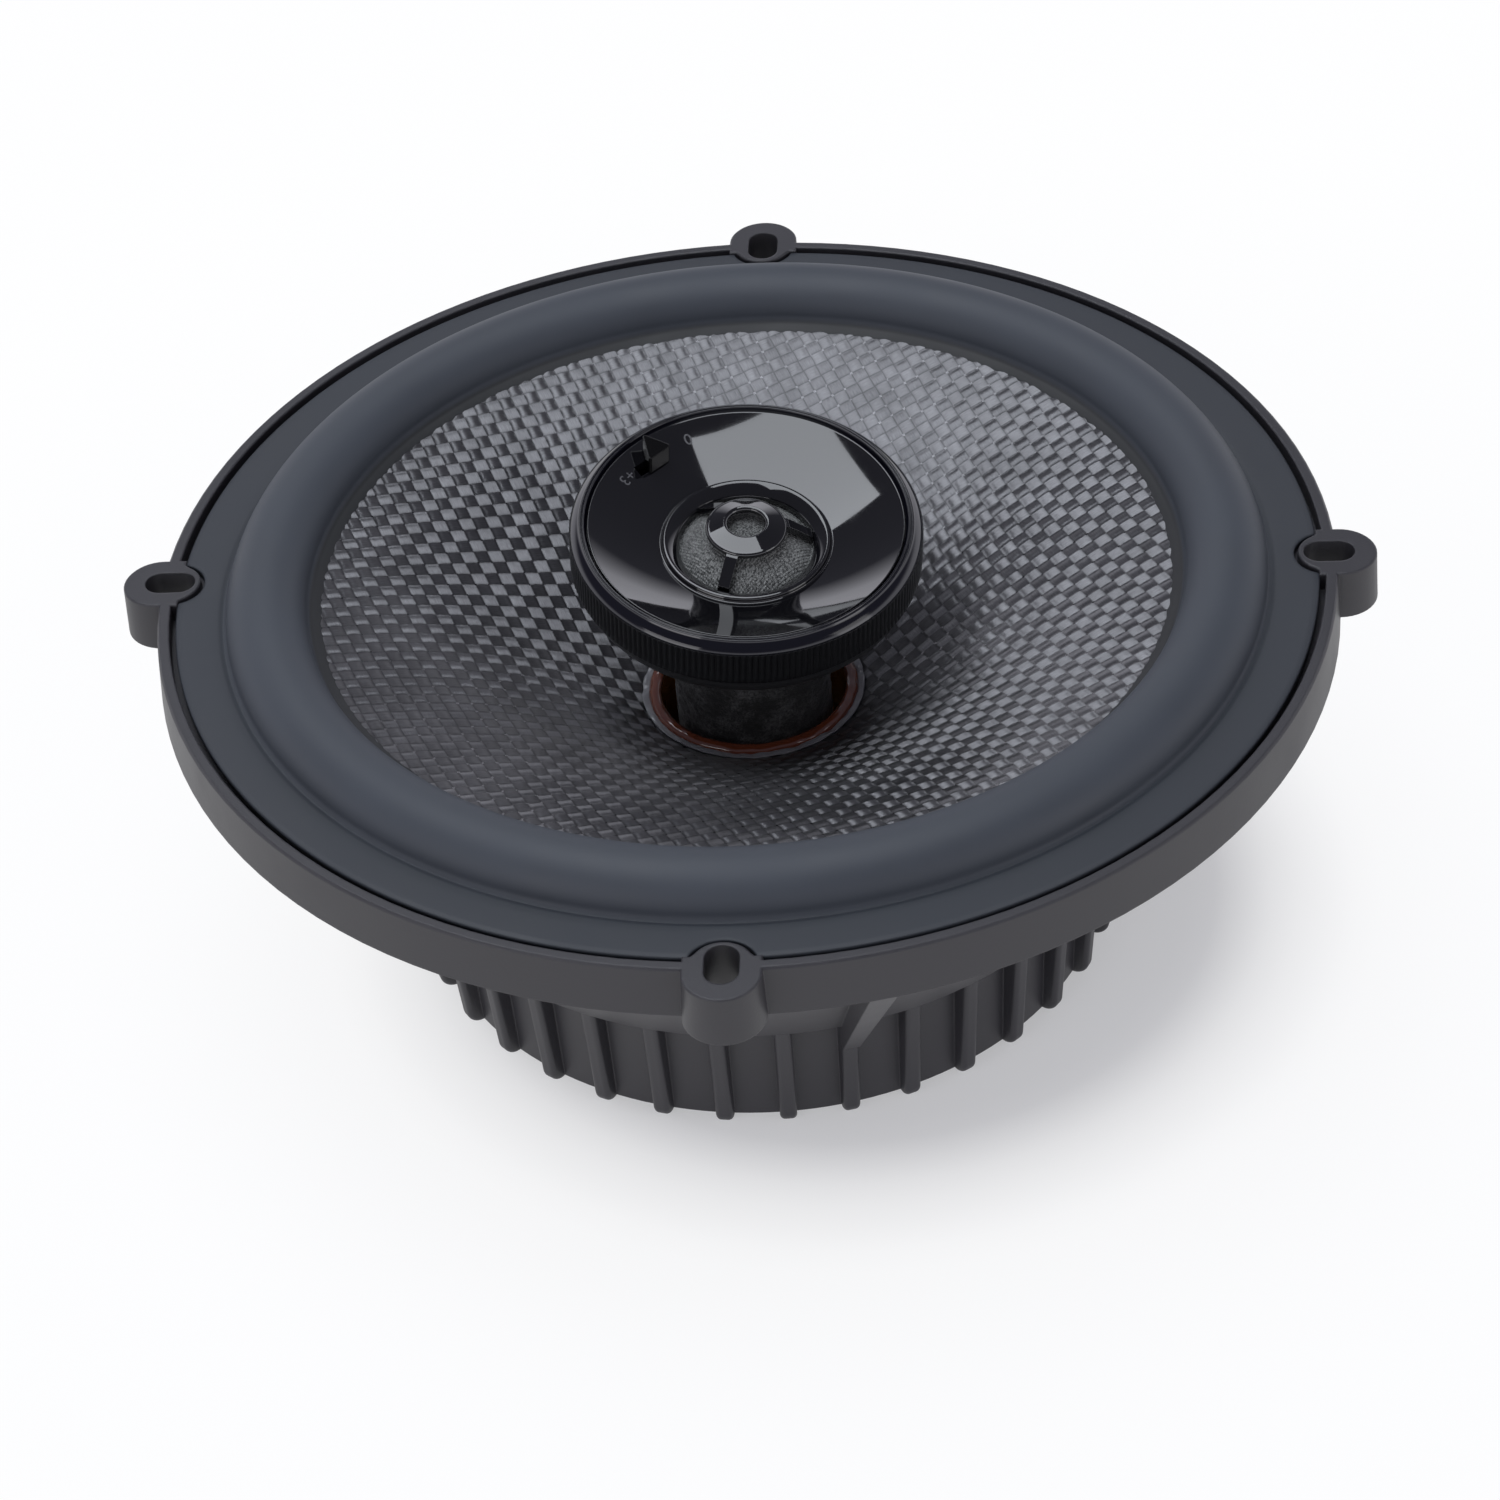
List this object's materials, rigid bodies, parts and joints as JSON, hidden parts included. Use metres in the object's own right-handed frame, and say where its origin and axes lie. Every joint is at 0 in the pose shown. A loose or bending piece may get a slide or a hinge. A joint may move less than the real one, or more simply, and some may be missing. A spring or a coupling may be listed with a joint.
{
  "type": "coaxial car speaker",
  "caption": "Coaxial car loudspeaker: woven cone and rubber surround in a ribbed cast basket, with a swivelling dome tweeter on a centre post over the ferrite motor.",
  "frame": {"origin": "on the speaker's axis, in the plane of the flange's underside, which meets the mounting panel", "axes": "+Z forwards along the axis, out of the cone towards the listener; the four mounting lugs are on +X, +Y, -X and -Y"},
  "size_m": [0.1682, 0.1682, 0.0696],
  "materials": {
    "basket": "satin black enamel with a fine grain",
    "surround_rubber": "matt butyl rubber",
    "cone_weave": "woven metallised composite, satin",
    "glue": "clear-white set adhesive",
    "former": "amber polyimide film",
    "collar": "amber reinforcing tape under varnish",
    "coil": "enamelled copper winding",
    "spider_cloth": "resin-treated woven cloth",
    "tinsel": "braided copper tinsel",
    "eyelet": "tinned brass",
    "steel": "zinc-plated steel",
    "ferrite": "sintered ferrite, ground faces",
    "cap_black": "satin black moulding",
    "post_black": "satin black moulding",
    "felt": "black felt",
    "cable": "black insulated twin lead",
    "ball": "acetal, semi-gloss",
    "trim": "dark metallic lacquer, knurled side",
    "gloss_black": "piano-black gloss",
    "housing": "fine textured moulding",
    "magnet_metal": "nickel plate",
    "foam": "closed-cell foam",
    "dome_cloth": "coated silk weave",
    "board": "solder-masked laminate",
    "capacitor": "shrink sleeve",
    "resistor": "cast ceramic",
    "tab": "tin-plated blade"
  },
  "bodies": {
    "basket": {"basket_frame": "basket", "surround": "surround_rubber", "spider": "spider_cloth", "tinsel_lead_positive": "tinsel", "tinsel_lead_negative": "tinsel", "top_plate": "steel", "ferrite_magnet": "ferrite", "t_yoke": "steel", "rear_cap": "cap_black", "motor_screws": "steel", "tweeter_post": "post_black", "post_felt": "felt", "post_nut": "steel", "post_washer": "steel", "tweeter_cable": "cable", "terminal_bracket": "cap_black", "terminal_block": "cap_black", "terminal_tab_positive": "tab", "terminal_tab_negative": "tab", "terminal_rivets": "eyelet"},
    "cone_assembly": {"cone": "cone_weave", "neck_glue": "glue", "voice_coil_former": "former", "former_collar": "collar", "voice_coil": "coil", "lead_eyelets": "eyelet"},
    "tweeter_pivot": {"pivot_ball": "ball", "pivot_clip": "steel"},
    "tweeter_head": {"trim_ring": "trim", "tweeter_faceplate": "gloss_black", "dome_guard": "gloss_black", "tweeter_housing": "housing", "tweeter_pot": "magnet_metal", "tweeter_magnet": "magnet_metal", "tweeter_pole_plate": "magnet_metal", "dome_damper": "foam", "dome_suspension": "dome_cloth", "level_switch_body": "housing", "switch_board": "board", "crossover_capacitor": "capacitor", "level_resistor": "resistor", "head_lead": "cable"},
    "dome_assembly": {"tweeter_dome": "dome_cloth", "tweeter_coil_former": "former", "tweeter_coil": "coil"},
    "level_switch": {"level_switch_knob": "cap_black"}
  },
  "joints": [
    {"name": "cone_travel", "type": "slide", "parent": "basket", "child": "cone_assembly", "axis": [0, 0, 1], "range_m": [-0.004, 0.004], "stiffness_N_per_m": 2500, "deforming": ["surround", "spider", "tinsel_lead_positive", "tinsel_lead_negative"]},
    {"name": "tweeter_turn", "type": "hinge", "parent": "basket", "child": "tweeter_pivot", "pos_m": [0, 0, 0.00255], "axis": [0, 0, 1], "range_deg": [-170, 170]},
    {"name": "tweeter_tilt", "type": "hinge", "parent": "tweeter_pivot", "child": "tweeter_head", "pos_m": [0, 0, 0.00255], "axis": [0.9135, 0.4067, 0], "range_deg": [-18.8, 1.2]},
    {"name": "dome_travel", "type": "slide", "parent": "tweeter_head", "child": "dome_assembly", "axis": [0.0622, -0.1398, 0.9882], "range_m": [-0.00025, 0.00025], "stiffness_N_per_m": 300, "deforming": ["dome_suspension"]},
    {"name": "level_switch", "type": "slide", "parent": "tweeter_head", "child": "level_switch", "axis": [-0.6965, -0.7153, -0.0573], "range_m": [0, 0.002]}
  ]
}
